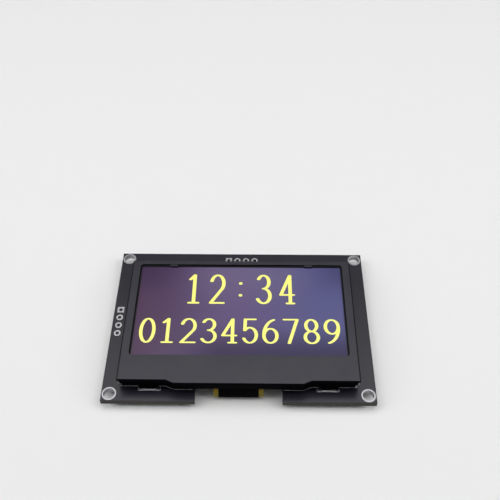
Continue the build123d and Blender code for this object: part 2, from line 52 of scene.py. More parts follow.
# %% [markdown]
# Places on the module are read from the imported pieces, so that everything added later
# follows them. A node's box gives its lowest and highest corners in metres.

# %% Read the heights and edges that the added pieces need
board_low, board_high = (np.array(corner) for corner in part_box("circuit_board"))
solder_low, solder_high = (np.array(corner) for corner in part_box("tab_solder"))
_, film_high = (np.array(corner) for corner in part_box("polarizer"))
board_bottom = board_low[2]
board_top = board_high[2]
screen_top = film_high[2]
print("board top at", round(board_top / mm, 2), "mm, screen at", round(screen_top / mm, 2), "mm")

# %% [markdown]
# The camera stands where the photograph was taken from. Its direction is given by an
# elevation above the floor, a small yaw and a small roll. From these come three
# directions: forwards, to the right and up. The lens follows from the focal length
# in pixels of a picture that is 500 pixels wide.

# %% Set the camera
picture_width = 500
focal_length = 675.6
sensor_width = 36.0
camera_elevation = np.radians(50.926)
camera_yaw = np.radians(-0.840)
camera_roll = np.radians(-0.274)
camera_distance = 202.70 * mm
camera_target = Vector((2.41 * mm, 25.70 * mm, board_top))


def camera_axes(elevation, yaw, roll):
    """The camera's right, up and backward directions.

    Forwards is a turn by yaw about the vertical and then a dip by the elevation. Right is
    level and square to it, up is square to both, and the roll turns right towards up.
    """
    forward = Vector((
        np.sin(yaw) * np.cos(elevation),
        np.cos(yaw) * np.cos(elevation),
        -np.sin(elevation),
    ))
    level_right = Vector((np.cos(yaw), -np.sin(yaw), 0))
    level_up = level_right.cross(forward)
    right = level_right * np.cos(roll) + level_up * np.sin(roll)
    up = level_up * np.cos(roll) - level_right * np.sin(roll)
    return right, up, -forward


right, up, backward = camera_axes(camera_elevation, camera_yaw, camera_roll)
camera_place = camera_target + backward * camera_distance
camera_turn = Matrix((right, up, backward)).transposed().to_4x4()
camera_data = bpy.data.cameras.new("camera")
camera_data.sensor_width = sensor_width
camera_data.lens = focal_length / picture_width * sensor_width
camera_data.clip_start = 1 * mm
camera = bpy.data.objects.new("camera", camera_data)
camera.matrix_world = Matrix.Translation(camera_place) @ camera_turn
bpy.context.scene.collection.objects.link(camera)
bpy.context.scene.camera = camera
print("camera at", [round(length / mm, 1) for length in camera_place], "mm")

# %% [markdown]
# A material is a network of nodes, which is long-winded to write node by node. Two small
# classes let it be written as arithmetic instead. The first is a Wire, the output of one
# node: an expression on wires adds the Math nodes that work it out.

# %% Write sums on sockets


class Wire:
    """One output of a node, on which + - * / and abs work as on a number."""

    def __init__(self, finish, socket):
        self.finish = finish
        self.socket = socket

    def __add__(self, other):
        return self.finish.maths("ADD", self, other)

    def __sub__(self, other):
        return self.finish.maths("SUBTRACT", self, other)

    def __rsub__(self, other):
        return self.finish.maths("SUBTRACT", other, self)

    def __mul__(self, other):
        return self.finish.maths("MULTIPLY", self, other)

    def __truediv__(self, other):
        return self.finish.maths("DIVIDE", self, other)

    def __rtruediv__(self, other):
        return self.finish.maths("DIVIDE", other, self)

    def __abs__(self):
        return self.finish.maths("ABSOLUTE", self)

    __radd__ = __add__
    __rmul__ = __mul__

    def smoothly(self, start, end):
        """0 before start, 1 after end and a smooth step between; start may be the larger."""
        settings = {"interpolation_type": "SMOOTHSTEP"}
        values = {"Value": self, "From Min": start, "From Max": end}
        return self.finish.node("ShaderNodeMapRange", settings, values)


# %% [markdown]
# The second class is a Finish, which is one material. One method of it makes any node, others
# give short names to the patterns that the finishes share, and the last ones set or link the
# shader's sockets and put the material on pieces. Patterns read the place on the object in
# metres, so a grain has the same real size on every piece.

# %% Write a material as arithmetic


class Finish:
    """One material, whose nodes are made by calling its methods."""

    def __init__(self, name):
        self.material = bpy.data.materials.new(name)
        self.material.use_nodes = True
        self.tree = self.material.node_tree
        self.shader = self.tree.nodes["Principled BSDF"]
        self.place = self.node("ShaderNodeTexCoord", output="Object")

    def node(self, kind, settings=None, values=None, output=0):
        """Any node: its settings first, then a value or a wire for sockets by name or number."""
        made = self.tree.nodes.new(kind)
        for name, value in (settings or {}).items():
            setattr(made, name, value)
        for name, value in (values or {}).items():
            self.feed(made.inputs[name], value)
        return Wire(self, made.outputs[output])

    def feed(self, socket, value):
        """Links a wire to a socket, or sets a plain value on it."""
        if isinstance(value, Wire):
            self.tree.links.new(value.socket, socket)
        else:
            socket.default_value = value

    def maths(self, operation, *operands):
        """A Math node, whose sockets share one name and are numbered instead."""
        return self.node("ShaderNodeMath", {"operation": operation}, dict(enumerate(operands)))

    def parts(self, vector):
        """The X, Y and Z of a vector, as three wires."""
        split = self.node("ShaderNodeSeparateXYZ", values={"Vector": vector}).socket.node
        return [Wire(self, output) for output in split.outputs]

    def axes(self):
        """The place in metres along X, Y and Z."""
        return self.parts(self.place)

    def facing(self):
        """How far the surface faces along X, Y and Z, from -1 to 1."""
        return self.parts(self.node("ShaderNodeTexCoord", output="Normal"))

    def noise(self, grain, detail=2.0, stretch=(1, 1, 1)):
        """Smooth random values round 0.5, whose lumps are about grain metres across."""
        scale = tuple(share / grain for share in stretch)
        spread = self.node("ShaderNodeMapping", values={"Vector": self.place, "Scale": scale})
        values = {"Vector": spread, "Scale": 1.0, "Detail": detail}
        return self.node("ShaderNodeTexNoise", values=values)

    def between(self, first, second, amount):
        """The colour that lies between two others, by an amount from 0 to 1.

        A Mix node has sockets for numbers, vectors and colours under the same names. The
        amount is its socket 0, the two colours are 6 and 7, and the mixed colour is output 2.
        """
        values = {0: amount, 6: first, 7: second}
        return self.node("ShaderNodeMix", {"data_type": "RGBA"}, values, output=2)

    def bumps(self, height, depth):
        """The normal of a surface whose height in units of depth is a wire; depth is in metres."""
        return self.node("ShaderNodeBump", values={"Strength": 1.0, "Distance": depth, "Height": height})

    def sockets(self, **values):
        """Sets or links sockets of the shader, named with underscores for blanks."""
        for name, value in values.items():
            self.feed(self.shader.inputs[name.replace("_", " ")], value)

    def on(self, *nodes):
        """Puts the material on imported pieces."""
        for node in nodes:
            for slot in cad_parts[node].material_slots:
                slot.material = self.material
        print(self.material.name, "on", ", ".join(nodes))

    def coat(self, piece):
        """Puts the material on a piece that is made here."""
        piece.data.materials.append(self.material)
        print(self.material.name, "on", piece.name)


# %% [markdown]
# The module stands on a wide pale floor, which turns up into a low round wall so that no
# edge shows in a level view. The floor is a surface of revolution: its profile is a flat
# stretch, a quarter bend and an upright stretch, and each point of it goes round a circle.

# %% Build the floor
floor_radius = 1500 * mm
floor_bend = 400 * mm
floor_wall = 300 * mm
floor_turns = 96
bend_points = 17
bend_angles = np.linspace(0, np.pi / 2, bend_points)
profile_out = np.concatenate([
    [0, floor_radius / 3],
    floor_radius + floor_bend * np.sin(bend_angles),
    [floor_radius + floor_bend],
])
profile_up = np.concatenate([
    [0, 0],
    floor_bend * (1 - np.cos(bend_angles)),
    [floor_bend + floor_wall],
])


def mesh_object(name, points, faces):
    """An object at the origin from arrays of points and faces, in metres."""
    mesh = bpy.data.meshes.new(name)
    mesh.from_pydata(points.tolist(), [], faces.tolist())
    made = bpy.data.objects.new(name, mesh)
    bpy.context.scene.collection.objects.link(made)
    return made


def grid_faces(rows, columns, wrap_rows=False, wrap_columns=False):
    """Four-cornered faces between neighbouring points of a grid that is stored row by row."""
    row = np.arange(rows if wrap_rows else rows - 1)[:, None]
    column = np.arange(columns if wrap_columns else columns - 1)[None, :]
    next_row = (row + 1) % rows
    next_column = (column + 1) % columns
    corners = [
        row * columns + column,
        row * columns + next_column,
        next_row * columns + next_column,
        next_row * columns + column,
    ]
    return np.stack(np.broadcast_arrays(*corners), axis=-1).reshape(-1, 4)


turns = np.linspace(0, 2 * np.pi, floor_turns, endpoint=False)
floor_points = np.stack([
    profile_out[:, None] * np.cos(turns),
    profile_out[:, None] * np.sin(turns),
    np.broadcast_to(profile_up[:, None], (len(profile_up), floor_turns)),
], axis=-1).reshape(-1, 3)
floor_faces = grid_faces(len(profile_out), floor_turns, wrap_columns=True)
floor = mesh_object("floor", floor_points, floor_faces)
floor.data.shade_smooth()
print("floor faces:", len(floor.data.polygons))

# %% [markdown]
# The lamps hang close to the module, so the floor's far parts would look dark. Seen by the
# camera or in a gloss, they glow as pale as the floor near by, while the floor round the
# module is lit by the lamps alone and keeps its shadow.

# %% Finish the floor


def grey(level):
    """A neutral colour of one level."""
    return (level, level, level, 1.0)


glow_start = 250 * mm
glow_end = 900 * mm
paper = grey(0.87)
paper_as_lit = grey(0.84)
finish = Finish("floor_paper")
reach = finish.node("ShaderNodeVectorMath", {"operation": "LENGTH"}, {0: finish.place}, output="Value")
seen_by = ("Is Camera Ray", "Is Glossy Ray", "Is Transmission Ray")
seen = sum(finish.node("ShaderNodeLightPath", output=ray) for ray in seen_by)
far_and_seen = reach.smoothly(glow_start, glow_end) * seen
finish.sockets(
    Base_Color=finish.between(paper, grey(0.0), far_and_seen),
    Roughness=0.9,
    Emission_Color=finish.between(grey(0.0), paper_as_lit, far_and_seen),
    Emission_Strength=1.0,
)
finish.coat(floor)

# %% [markdown]
# The light is a plain studio's. The world gives a little even light from all round. The main
# lamp is a wide soft panel above the module, which reaches well behind it: flat dark surfaces
# mirror it towards the camera, which gives them their grey sheen, while the walls that face
# the camera mirror only the floor. Two panels at the sides fill in the floor. Each panel
# is set by the direction it hangs in and by the brightness of its own face.

# %% Light the studio
world = bpy.data.worlds.new("studio")
bpy.context.scene.world = world
world.use_nodes = True
world_light = world.node_tree.nodes["Background"]
world_light.inputs["Color"].default_value = grey(1.0)
world_light.inputs["Strength"].default_value = 0.15


def soft_panel(name, azimuth, elevation, distance, size, radiance):
    """A rectangular lamp that faces the module from an azimuth and elevation in degrees.

    Azimuth 0 is behind the module as the camera sees it, and 90 is at its right. A lamp whose
    face has a given radiance gives off pi times that radiance times its area.
    """
    turn, climb = np.radians((azimuth, elevation))
    away = Vector((np.sin(turn) * np.cos(climb), np.cos(turn) * np.cos(climb), np.sin(climb)))
    lamp = bpy.data.lights.new(name, "AREA")
    lamp.shape = "RECTANGLE"
    lamp.size, lamp.size_y = size
    lamp.energy = radiance * np.pi * size[0] * size[1]
    made = bpy.data.objects.new(name, lamp)
    towards_module = away.to_track_quat("Z", "Y").to_matrix().to_4x4()
    made.matrix_world = Matrix.Translation(away * distance) @ towards_module
    bpy.context.scene.collection.objects.link(made)


soft_panel("top_panel", azimuth=0, elevation=80.5, distance=0.65, size=(0.75, 0.56), radiance=1.85)
soft_panel("left_panel", azimuth=-93, elevation=42, distance=0.80, size=(0.50, 0.50), radiance=2.6)
soft_panel("right_panel", azimuth=93, elevation=42, distance=0.80, size=(0.50, 0.50), radiance=2.6)
bpy.context.scene.view_settings.view_transform = "Standard"
print("lamps:", [lamp.name for lamp in bpy.data.lights])

# %% [markdown]
# The board is glass fibre under a coat of matt black solder mask. The mask is nearly black and
# faintly uneven in its gloss. It lies lower and duller along the outline, where the copper
# beneath it stops short of the cut, and the cut edges show the bare fibre. One material does
# all of it: which face is meant follows from where the face looks, and the dull outline from
# how near a point lies to the edge of the board's box.

# %% Finish the board
outline_width = 0.35 * mm
finish = Finish("matt_solder_mask")
across, along, _ = finish.axes()
_, _, facing_up = finish.facing()
cut_edge = abs(facing_up).smoothly(0.7, 0.3)
side_outline = abs(across).smoothly(board_high[0] - outline_width, board_high[0] - outline_width / 2)
end_outline = abs(along).smoothly(board_high[1] - outline_width, board_high[1] - outline_width / 2)
outline = side_outline + end_outline - side_outline * end_outline
mottle = finish.noise(2.5 * mm, detail=4.0)
fibre = finish.noise(0.12 * mm, detail=1.0, stretch=(1, 1, 0.3))
mask_colour = finish.between((0.0085, 0.0080, 0.0165, 1), (0.0115, 0.0110, 0.0205, 1), mottle)
fibre_colour = finish.between((0.030, 0.026, 0.020, 1), (0.055, 0.048, 0.036, 1), fibre)
finish.sockets(
    Base_Color=finish.between(mask_colour, fibre_colour, cut_edge),
    Roughness=0.28 + 0.06 * mottle + 0.30 * cut_edge + 0.20 * outline,
    Normal=finish.bumps(finish.noise(0.10 * mm) - 4.0 * outline, depth=0.002 * mm),
)
finish.on("circuit_board")

# %% [markdown]
# Rings, header pads and slot pads are copper with a thin coat of tin, levelled by hot air: the
# tin is bright, soft in its reflections and slightly wavy. A metal with a low bump gives that.

# %% Finish the tinned pads
finish = Finish("tinned_copper")
wave = finish.noise(0.6 * mm, detail=2.0)
finish.sockets(
    Base_Color=finish.between((0.42, 0.42, 0.44, 1), (0.54, 0.54, 0.56, 1), wave),
    Metallic=1.0,
    Roughness=0.32 + 0.16 * finish.noise(0.25 * mm),
    Normal=finish.bumps(wave, depth=0.02 * mm),
)
finish.on("mounting_hole_plating", "left_header_pads", "top_header_pads")
finish.on("tab_slot_plating", "component_lands")

# %% [markdown]
# The frame is thin steel with a satin black coat. The sheet was cut after coating, so the cut
# itself is bare. Along the lower rim of the walls a pale grey is painted in, partly bare steel
# and partly a painted highlight. It is faint everywhere, stronger in patches of wear, and
# strongest at the open corners, where it reaches further up. It is left out at the tabs, where
# the wall runs on downwards, and in the shadow over the board's notch. Each of these is a mask
# with a soft edge, worked out from the place, and noise breaks up the wear and the highlight.

# %% Mark the bare steel and the painted highlight of the frame
wall_gap = 1.75 * mm
rim_height = 0.30 * mm
soft_edge = 0.3 * mm
cut_depth = 0.01 * mm
pad_half = np.array([3.0, 0.55]) * mm
tab_half = np.array([2.5, 0.2]) * mm
notch_half_width = 11.25 * mm
notch_edge = 0.2 * mm
front_start_y = -15 * mm
front_end_y = -17 * mm
corner_x = 29.6 * mm
corner_y = 17.8 * mm
corner_height = 1.6 * mm
wall_bottom = board_top + wall_gap
walls_middle_y = (solder_low[1] + solder_high[1]) / 2
tab_x = solder_high[0] - pad_half[0]
finish = Finish("satin_black_steel")
across, along, height = finish.axes()
_, _, facing_up = finish.facing()
low_rim = height.smoothly(wall_bottom + rim_height, wall_bottom + rim_height / 2)
beside_tab = abs(abs(across) - tab_x).smoothly(tab_half[0], tab_half[0] + soft_edge)
in_notch_width = abs(across).smoothly(notch_half_width + notch_edge, notch_half_width)
over_notch = in_notch_width * along.smoothly(front_start_y, front_end_y)
near_side = abs(across).smoothly(corner_x, corner_x + soft_edge)
near_end = abs(along - walls_middle_y).smoothly(corner_y, corner_y + soft_edge)
corner = near_side * near_end
wear_and_glint_patches = finish.noise(1.2 * mm, detail=3.0).smoothly(0.35, 0.60)
# The lower rim is painted pale as a highlight, partly bare steel: faintly everywhere, more in patches of
# wear, most at the corners.
rim_bare_steel_and_glint = low_rim * beside_tab * (1 - over_notch) * (0.14 + 0.34 * wear_and_glint_patches + 0.52 * corner)
# At the open corners the painted highlight and the bare steel reach further up.
corner_bare_steel_and_glint = height.smoothly(wall_bottom + corner_height, wall_bottom + corner_height / 2) * corner
bare_steel_and_painted_glint = rim_bare_steel_and_glint + (1 - rim_bare_steel_and_glint) * corner_bare_steel_and_glint * wear_and_glint_patches
faces_down = facing_up.smoothly(-0.6, -0.9)
cut_face = faces_down * height.smoothly(wall_bottom + 2 * cut_depth, wall_bottom + cut_depth)
print("walls end", round(wall_gap / mm, 2), "mm above the board, tabs at", round(tab_x / mm, 2), "mm")

# %% [markdown]
# The frame's flat front has a soft grey sheen, while the folds and walls stay nearly black. The
# sheen is painted: the clear coat's weight falls off where the surface turns down, and the base
# colour is painted lighter and bluer where the surface faces up, as painted top light. The bare
# steel and the painted highlight lie over the coat's colour by their masks.

# %% Finish the frame
cloud = finish.noise(8 * mm, detail=3.0)
# Faces that look up get a painted top light in their colour and a painted sheen from the coat; folds and
# walls get neither.
flat = facing_up.smoothly(0.75, 0.97)
painted_top_light_colour = finish.between((0.0160, 0.0150, 0.0260, 1), (0.0240, 0.0235, 0.0340, 1), cloud)
coat_with_painted_top_light = finish.between((0.0020, 0.0020, 0.0030, 1), painted_top_light_colour, flat)
# The pale grey is the painted highlight on the rim, partly bare steel.
coat_with_painted_glint = finish.between(coat_with_painted_top_light, grey(0.55), bare_steel_and_painted_glint)
finish.sockets(
    Base_Color=finish.between(coat_with_painted_glint, (0.50, 0.50, 0.49, 1), cut_face),
    Metallic=cut_face,
    Roughness=0.45,
    Specular_IOR_Level=0.0,
    # The coat's weight paints the sheen on faces that look up.
    Coat_Weight=(0.03 + 0.97 * flat) * (0.85 + 0.15 * cloud),
    Coat_Roughness=0.35,
    Normal=finish.bumps(finish.noise(0.18 * mm), depth=0.0012 * mm),
)
finish.on("display_frame")

# %% [markdown]
# The screen is a dark polarizing film over the glass. Over the area that holds the dots, and a
# little more round it, a reflection is painted into the film's colour: purple at one side and
# turning to blue towards the other, as the thin layers under it reflect differently with the
# angle. Painted light makes it paler high up in the middle, and painted shade makes it darker
# low down and in the upper corners. Round it lies a neutral border. The film's colour is mixed
# from a few soft masks of its own place.

# %% Finish the screen
dot_columns = 128
dot_rows = 64
dot_pitch = 0.43 * mm
dots_middle_y = 0.9 * mm
reflection_past_dots = 0.62 * mm
reflection_shift = 0.4 * mm
border_blur = 0.30 * mm
reflection_half_width = dot_columns / 2 * dot_pitch + reflection_past_dots
reflection_half_height = dot_rows / 2 * dot_pitch + reflection_past_dots
reflection_middle_y = dots_middle_y + reflection_shift
border = (0.010, 0.010, 0.012, 1)
# Colours of the painted reflection, then of the painted light and the painted shade over it.
dark_purple = (0.066, 0.026, 0.075, 1)
purple = (0.112, 0.072, 0.190, 1)
blue = (0.085, 0.086, 0.240, 1)
painted_glow_violet = (0.190, 0.165, 0.260, 1)
painted_shade_violet = (0.015, 0.005, 0.050, 1)
finish = Finish("screen_film")
across, along, _ = finish.axes()
in_width = abs(across).smoothly(reflection_half_width + border_blur, reflection_half_width - border_blur)
height_off = abs(along - reflection_middle_y)
in_height = height_off.smoothly(reflection_half_height + border_blur, reflection_half_height - border_blur)
# Noise makes the edge between the painted reflection's colours wander.
reflection_wobble = finish.noise(14 * mm, detail=1.0)
shift = across + 8 * mm * reflection_wobble
left_painted_reflection = finish.between(dark_purple, purple, shift.smoothly(-26 * mm, 4 * mm))
painted_reflection = finish.between(left_painted_reflection, blue, shift.smoothly(0, 30 * mm))
# Painted shade low down and in the upper corners, and painted light high up in the middle.
low_shade = along.smoothly(-2 * mm, -13 * mm) * across.smoothly(-22 * mm, -4 * mm)
corner_shade = along.smoothly(4 * mm, 14 * mm) * abs(across - 2 * mm).smoothly(14 * mm, 28 * mm)
top_glow = along.smoothly(-2 * mm, 14 * mm) * abs(across - 2 * mm).smoothly(22 * mm, 6 * mm)
reflection_with_painted_glow = finish.between(painted_reflection, painted_glow_violet, 0.38 * top_glow)
reflection_with_painted_shade = finish.between(reflection_with_painted_glow, painted_shade_violet, 0.88 * low_shade + 0.42 * corner_shade)
finish.sockets(
    Base_Color=finish.between(border, reflection_with_painted_shade, in_width * in_height),
    Roughness=0.30,
    Specular_IOR_Level=0.40,
)
finish.on("polarizer")

# %% [markdown]
# The lit part of the picture glows under the film, and its dots are so fine that their strokes
# look smooth. As a plain picture the screen shows a time over the figures from 0 to 9. Each
# figure is a few strokes in a cell one unit wide and high, straight or along an ellipse. A
# stroke that goes all the way round ends a few degrees past its start, so its ends overlap.

# %% Draw the figures
arc_points = 33
closed_end = 365


def arc(middle, radii, start, end):
    """Points on an ellipse, from one angle to another in degrees anticlockwise from the right."""
    angles = np.radians(np.linspace(start, end, arc_points))
    return np.array(middle) + np.array(radii) * np.stack([np.cos(angles), np.sin(angles)], axis=-1)


def line(*ends):
    """A straight stroke between two points."""
    return np.array(ends, float)


six = [arc((0.5, 0.30), (0.5, 0.30), 0, closed_end), arc((1.0, 0.34), (1.0, 0.66), 180, 104)]
figures = {
    "0": [arc((0.5, 0.5), (0.5, 0.5), 0, closed_end)],
    "1": [line((0.15, 0.84), (0.5, 1)), line((0.5, 1), (0.5, 0)), line((0.15, 0), (0.85, 0))],
    "2": [arc((0.5, 0.70), (0.5, 0.30), 165, -38), line((0.89, 0.51), (0, 0)), line((0, 0), (1, 0))],
    "3": [arc((0.48, 0.76), (0.44, 0.24), 155, -90), arc((0.48, 0.26), (0.52, 0.26), 90, -155)],
    "4": [
        line((0.75, 0), (0.75, 1)),
        line((0.75, 1), (0, 0.3)),
        line((0, 0.3), (1, 0.3)),
        line((0.5, 0), (1, 0)),
    ],
    "5": [
        line((0.9, 1), (0.14, 1)),
        line((0.14, 1), (0.11, 0.52)),
        arc((0.5, 0.32), (0.5, 0.32), 141, -155),
    ],
    "6": six,
    "7": [line((0, 1), (1, 1)), line((1, 1), (0.35, 0))],
    "8": [
        arc((0.5, 0.75), (0.42, 0.25), 0, closed_end),
        arc((0.5, 0.25), (0.5, 0.25), 0, closed_end),
    ],
    "9": [1 - stroke for stroke in six],
    ":": [line((0.5, 0.26), (0.5, 0.29)), line((0.5, 0.69), (0.5, 0.72))],
}
print("figures:", "".join(figures))

# %% [markdown]
# A stroke becomes a thin ribbon. It is drawn with a broad pen, an oval wider than it is high,
# so that upright strokes come out thick and level ones thin. That needs no case for each
# direction: measured in units of the pen's own half sizes the pen is a circle, and there the
# ribbon is as wide everywhere. A ribbon is a closed strip, and many strips make one object.

# %% Turn a stroke into a ribbon
ribbon_half_thickness = 0.01 * mm
end_turns = np.radians([20, 40, 60, 80])


def ribbon(stroke, pen):
    """The ribbon along a stroke, as rows of four corners.

    In units of the pen, an edge lies 1 to each side of the stroke, square to its direction.
    Past each end, at the angle a, the ribbon has gone on by sin a and is cos a wide, which
    rounds the end. The corners of a row go round it from the right edge's underside.
    """
    path = stroke / pen
    along = np.gradient(path, axis=0)
    along /= np.linalg.norm(along, axis=1)[:, None]
    before = path[0] - np.outer(np.sin(end_turns[::-1]), along[0])
    after = path[-1] + np.outer(np.sin(end_turns), along[-1])
    middle = np.vstack([before, path, after])
    direction = np.vstack([
        np.repeat(along[:1], len(end_turns), axis=0),
        along,
        np.repeat(along[-1:], len(end_turns), axis=0),
    ])
    half_width = np.concatenate([np.cos(end_turns[::-1]), np.ones(len(path)), np.cos(end_turns)])
    left = np.stack([-direction[:, 1], direction[:, 0]], axis=-1) * half_width[:, None]
    corners = middle[:, None, :] + left[:, None, :] * np.array([-1, 1, 1, -1])[:, None]
    level = np.broadcast_to(ribbon_half_thickness * np.array([-1, -1, 1, 1]), corners.shape[:2])
    return np.concatenate([corners * pen, level[..., None]], axis=-1)


def strips_object(name, strips):
    """One object of closed strips, each given as rows of corners round its section.

    Faces join each row to the next, and two caps close the ends of each strip.
    """
    faces = []
    start = 0
    for strip in strips:
        rows, columns = strip.shape[:2]
        first_row = np.arange(columns)
        caps = np.stack([first_row[::-1], first_row + (rows - 1) * columns])
        faces.append(np.vstack([grid_faces(rows, columns, wrap_columns=True), caps]) + start)
        start += rows * columns
    points = np.vstack([strip.reshape(-1, 3) for strip in strips])
    return mesh_object(name, points, np.vstack(faces))


# %% [markdown]
# The time is set large and the ten figures smaller under it. Their sizes and spacing are
# counted in dots of the panel. The ribbons are set into the film by half their thickness, so
# they neither float over it nor share its surface.

# %% Build the lit figures
large_size = np.array([8, 22]) * dot_pitch
large_pitch = 15 * dot_pitch
large_low_y = 3.4 * mm
large_pen = np.array([0.50, 0.28]) * mm
small_size = np.array([8, 17]) * dot_pitch
small_pitch = 12.7 * dot_pitch
small_low_y = -9.2 * mm
small_pen = np.array([0.46, 0.24]) * mm


def row_of_figures(text, pitch, size, low_y, pen):
    """The ribbons of a row of figures of one size, centred on the panel a pitch apart."""
    first_x = -((len(text) - 1) * pitch + size[0]) / 2
    return [
        ribbon(stroke * size + (first_x + place * pitch, low_y), pen)
        for place, figure in enumerate(text) for stroke in figures[figure]
    ]


large_row = row_of_figures("12:34", large_pitch, large_size, large_low_y, large_pen)
small_row = row_of_figures("0123456789", small_pitch, small_size, small_low_y, small_pen)
figure_strips = [strip + (0, 0, screen_top) for strip in large_row + small_row]
lit_figures = strips_object("lit_figures", figure_strips)
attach(lit_figures, "root")
print("strokes:", len(figure_strips), "faces:", len(lit_figures.data.polygons))

# %% [markdown]
# The figures glow in the panel's yellow, at the plain strength of 1, and between the dots the
# glow dims a little. The dots follow a grid of the panel's pitch. How far a point lies from
# the middle of its own cell is the same in every cell, so a remainder gives it, and a gap
# lies where it comes near half a pitch.

# %% Finish the lit figures
gap_start = 0.40
gap_end = 0.48
lit_dot = (1.0, 1.0, 0.24, 1)
between_dots = (0.80, 0.78, 0.17, 1)
finish = Finish("glowing_dots")
across, along, _ = finish.axes()
in_cell_x = finish.maths("FRACT", across / dot_pitch)
in_cell_y = finish.maths("FRACT", (along - dots_middle_y) / dot_pitch)
gap_x = abs(in_cell_x - 0.5).smoothly(gap_start, gap_end)
gap_y = abs(in_cell_y - 0.5).smoothly(gap_start, gap_end)
finish.sockets(
    Base_Color=(0.05, 0.05, 0.01, 1),
    Roughness=0.3,
    Emission_Color=finish.between(lit_dot, between_dots, gap_x + gap_y - gap_x * gap_y),
    Emission_Strength=1.0,
)
finish.coat(lit_figures)

# %% [markdown]
# The display's other pieces are mostly hidden. Its two glasses look black and glossy, with
# pale ground edges. The foam ring and the foam strips are fine-celled and hardly shine at all.
# The drying sheet is pale and matt, and the driver chip is polished silicon.

# %% Finish the display's other pieces
finish = Finish("display_glass")
_, _, facing_up = finish.facing()
ground = abs(facing_up).smoothly(0.7, 0.3)
finish.sockets(
    Base_Color=finish.between((0.010, 0.012, 0.012, 1), (0.16, 0.19, 0.18, 1), ground),
    Roughness=0.08 + 0.5 * ground,
    Normal=finish.bumps(finish.noise(0.05 * mm), depth=0.001 * mm),
)
finish.on("front_glass", "rear_glass")

finish = Finish("black_foam")
cells = finish.noise(0.12 * mm, detail=2.0)
finish.sockets(
    Base_Color=finish.between(grey(0.004), grey(0.016), cells),
    Roughness=0.95,
    Specular_IOR_Level=0.2,
    Normal=finish.bumps(cells, depth=0.04 * mm),
)
finish.on("lip_gasket", "support_foam")

finish = Finish("pale_drying_sheet")
finish.sockets(Base_Color=finish.between(grey(0.5), grey(0.6), finish.noise(0.3 * mm)), Roughness=0.8)
finish.on("getter_sheet")

finish = Finish("polished_silicon")
finish.sockets(Base_Color=finish.between(grey(0.05), grey(0.08), finish.noise(1 * mm)), Roughness=0.12)
finish.on("driver_chip")

# %% [markdown]
# The parts under the board are bought parts with finishes of their own: tinned leads and
# terminals, black glaze on the resistors, tan fired ceramic on the capacitors, matt black
# epoxy round the chips and dark ferrite round the coil. Each is a colour that varies a little
# with noise and a gloss, with a fine bump where the surface is grainy.

# %% Finish the parts under the board
finish = Finish("tinned_leads")
finish.sockets(
    Base_Color=finish.between(grey(0.60), grey(0.72), finish.noise(0.3 * mm)),
    Metallic=1.0,
    Roughness=0.34,
)
finish.on("resistor_terminals", "capacitor_terminals", "inductor_terminals")
finish.on("boost_chip_leads", "regulator_leads", "diode_leads")

finish = Finish("black_glaze")
finish.sockets(Base_Color=finish.between(grey(0.008), grey(0.012), finish.noise(0.4 * mm)), Roughness=0.22)
finish.on("resistor_bodies")

finish = Finish("tan_ceramic")
finish.sockets(
    Base_Color=finish.between((0.30, 0.20, 0.12, 1), (0.38, 0.26, 0.16, 1), finish.noise(0.3 * mm)),
    Roughness=0.55,
)
finish.on("capacitor_bodies")

finish = Finish("moulded_epoxy")
finish.sockets(
    Base_Color=finish.between(grey(0.012), grey(0.020), finish.noise(0.2 * mm)),
    Roughness=0.6,
    Normal=finish.bumps(finish.noise(0.05 * mm), depth=0.004 * mm),
)
finish.on("boost_chip_body", "regulator_body", "diode_body")

finish = Finish("dark_ferrite")
finish.sockets(
    Base_Color=finish.between(grey(0.045), grey(0.075), finish.noise(0.15 * mm)),
    Roughness=0.7,
    Normal=finish.bumps(finish.noise(0.06 * mm), depth=0.006 * mm),
)
finish.on("inductor_shield", "inductor_core")

# %% [markdown]
# The flex tail is a thin amber film that carries the display's lines. It leaves the underside
# of the glass, comes down through the notch in an easy belly and is soldered under the board.
# A bent film is a curve carried sideways, so its route is drawn in the upright plane. The
# route has a few points, chosen and placed from the box of the imported film. Cutting its
# corners again and again turns them into one smooth curve.

# %% Draw the flex tail's route
flex_low, flex_high = (np.array(corner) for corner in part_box("flex_tail"))
flex_thickness = 0.12 * mm
bond_y = -18.5 * mm
upper_z = flex_high[2] - flex_thickness / 2
lower_z = flex_low[2] + flex_thickness / 2
front_y = flex_low[1] + flex_thickness / 2
corner_cuts = 4
route_points = np.array([
    # Y and Z, first along the glass and round the bend
    (bond_y, upper_z),
    (front_y + 0.9 * mm, upper_z),
    (front_y, upper_z),
    (front_y, upper_z - 1.1 * mm),
    # down the front of the belly and round its lowest part
    (front_y - 0.9 * mm, 3.6 * mm),
    (front_y - 1.0 * mm, 1.3 * mm),
    (front_y + 0.6 * mm, 0.35 * mm),
    (front_y + 2.2 * mm, 0.55 * mm),
    # in under the board to the contacts
    (front_y + 3.2 * mm, lower_z),
    (flex_high[1], lower_z),
])


def corners_cut(points, rounds):
    """Each round replaces a corner by points a quarter of the way along its two sides."""
    for _ in range(rounds):
        nearer = 0.75 * points[:-1] + 0.25 * points[1:]
        further = 0.25 * points[:-1] + 0.75 * points[1:]
        cut = np.stack([nearer, further], axis=1).reshape(-1, 2)
        points = np.vstack([points[:1], cut, points[-1:]])
    return points


route = corners_cut(route_points, corner_cuts)
lowest = route[:, 1].min()
print("flex route of", len(route), "points, lowest", round(lowest / mm, 2), "mm above the floor")

# %% [markdown]
# Carried sideways and given a thickness, the route becomes the film. The black cover film
# lies on the outside of the same route. It starts a little way behind the bend, ends where
# the contacts begin and is narrower, so that amber shows along its two sides.

# %% Build the flex tail and its cover
cover_low, cover_high = (np.array(corner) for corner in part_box("flex_cover_film"))
cover_thickness = 0.05 * mm
cover_start_y = cover_low[1] + 1.2 * mm
upper_run_drop = 0.5 * mm


